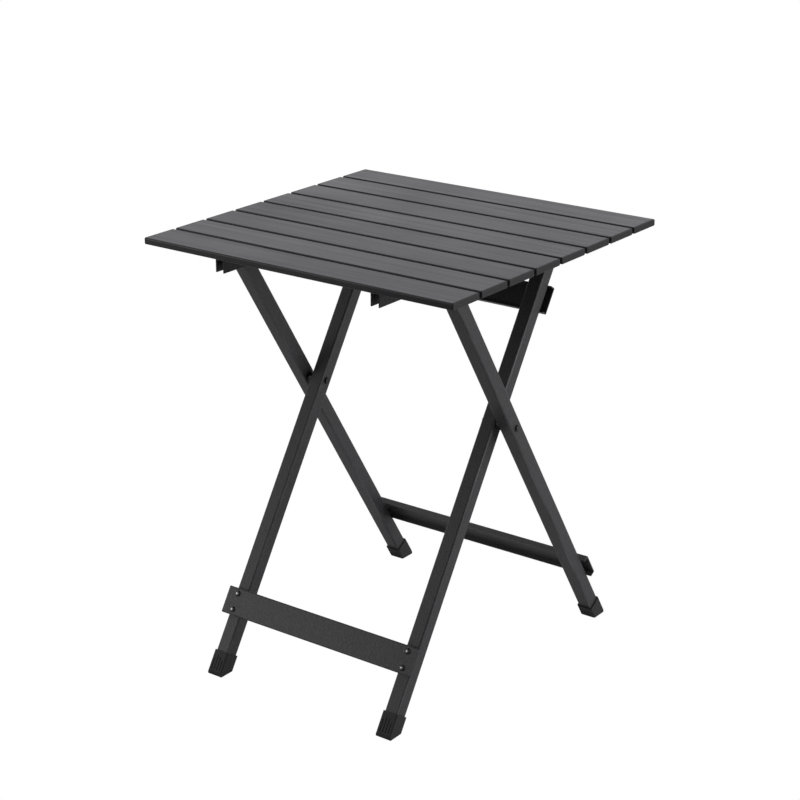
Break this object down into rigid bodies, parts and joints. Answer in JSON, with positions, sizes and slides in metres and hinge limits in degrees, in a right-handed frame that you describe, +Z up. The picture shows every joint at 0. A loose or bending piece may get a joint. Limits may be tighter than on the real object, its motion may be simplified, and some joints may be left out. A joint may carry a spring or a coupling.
{
  "type": "camp kitchen table",
  "caption": "Folding camp kitchen table: a flat slatted top on two crossed square-tube leg frames with channel braces and rubber feet.",
  "frame": {"origin": "on the floor, under the middle of the table", "axes": "+X along the slats, +Y from front to back, +Z up"},
  "size_m": [0.566, 0.561, 0.7],
  "materials": {
    "slat_paint": "charcoal satin coat with a fine lengthwise grain",
    "leg_paint": "charcoal powder coat, fine texture",
    "brace_paint": "charcoal powder coat, satin",
    "rail_paint": "black powder coat",
    "cap_plastic": "dark grey moulded plastic",
    "black_plastic": "black moulded plastic",
    "nylon": "black nylon",
    "foot_rubber": "black moulded rubber with grooves",
    "rivet": "black coated aluminium, glossy head",
    "fastener": "black coated steel"
  },
  "bodies": {
    "inner_frame": {"hinge_washer_left": "nylon", "hinge_washer_right": "nylon", "inner_brace_high": "brace_paint", "inner_brace_low": "brace_paint", "inner_foot_left": "foot_rubber", "inner_foot_right": "foot_rubber", "inner_high_rivets": "rivet", "inner_leg_left": "leg_paint", "inner_leg_right": "leg_paint", "inner_low_rivets": "rivet", "inner_plug_left": "black_plastic", "inner_plug_right": "black_plastic"},
    "outer_frame": {"cross_rod": "fastener", "outer_brace_low": "brace_paint", "outer_foot_left": "foot_rubber", "outer_foot_right": "foot_rubber", "outer_leg_left": "leg_paint", "outer_leg_right": "leg_paint", "outer_low_rivets": "rivet", "outer_plug_left": "black_plastic", "outer_plug_right": "black_plastic", "pivot_bolt_left": "fastener", "pivot_bolt_right": "fastener", "pivot_nut_left": "fastener", "pivot_nut_right": "fastener", "pivot_spacer_left": "nylon", "pivot_spacer_right": "nylon", "rod_nuts": "fastener", "rod_sleeve_left": "nylon", "rod_sleeve_right": "nylon"},
    "hinge_bolts": {"hinge_bolt_left": "fastener", "hinge_bolt_right": "fastener", "hinge_nut_left": "fastener", "hinge_nut_right": "fastener"},
    "table_top": {"hinge_bush_left": "nylon", "hinge_bush_right": "nylon", "rail_left": "rail_paint", "rail_right": "rail_paint", "rod_stop_left": "black_plastic", "rod_stop_right": "black_plastic", "slat_1": "slat_paint", "slat_2": "slat_paint", "slat_3": "slat_paint", "slat_4": "slat_paint", "slat_5": "slat_paint", "slat_6": "slat_paint", "slat_7": "slat_paint", "slat_8": "slat_paint", "slat_caps_left": "cap_plastic", "slat_caps_right": "cap_plastic", "slat_rivets_left": "rivet", "slat_rivets_right": "rivet", "stop_rivets": "rivet"}
  },
  "joints": [
    {"name": "frame_fold", "type": "hinge", "parent": "inner_frame", "child": "outer_frame", "pos_m": [0, 0, 0.42042], "axis": [-1, 0, 0], "range_deg": [0, 61]},
    {"name": "top_follow", "type": "hinge", "parent": "inner_frame", "child": "hinge_bolts", "pos_m": [0, 0.16163, 0.67315], "axis": [-1, 0, 0], "range_deg": [0, 31]},
    {"name": "top_lift", "type": "hinge", "parent": "hinge_bolts", "child": "table_top", "pos_m": [0, 0.16163, 0.67315], "axis": [-1, 0, 0], "range_deg": [0, 65]}
  ],
  "couplings": [
    {"joint": "top_follow", "follows": "frame_fold", "ratio": 0.5}
  ]
}
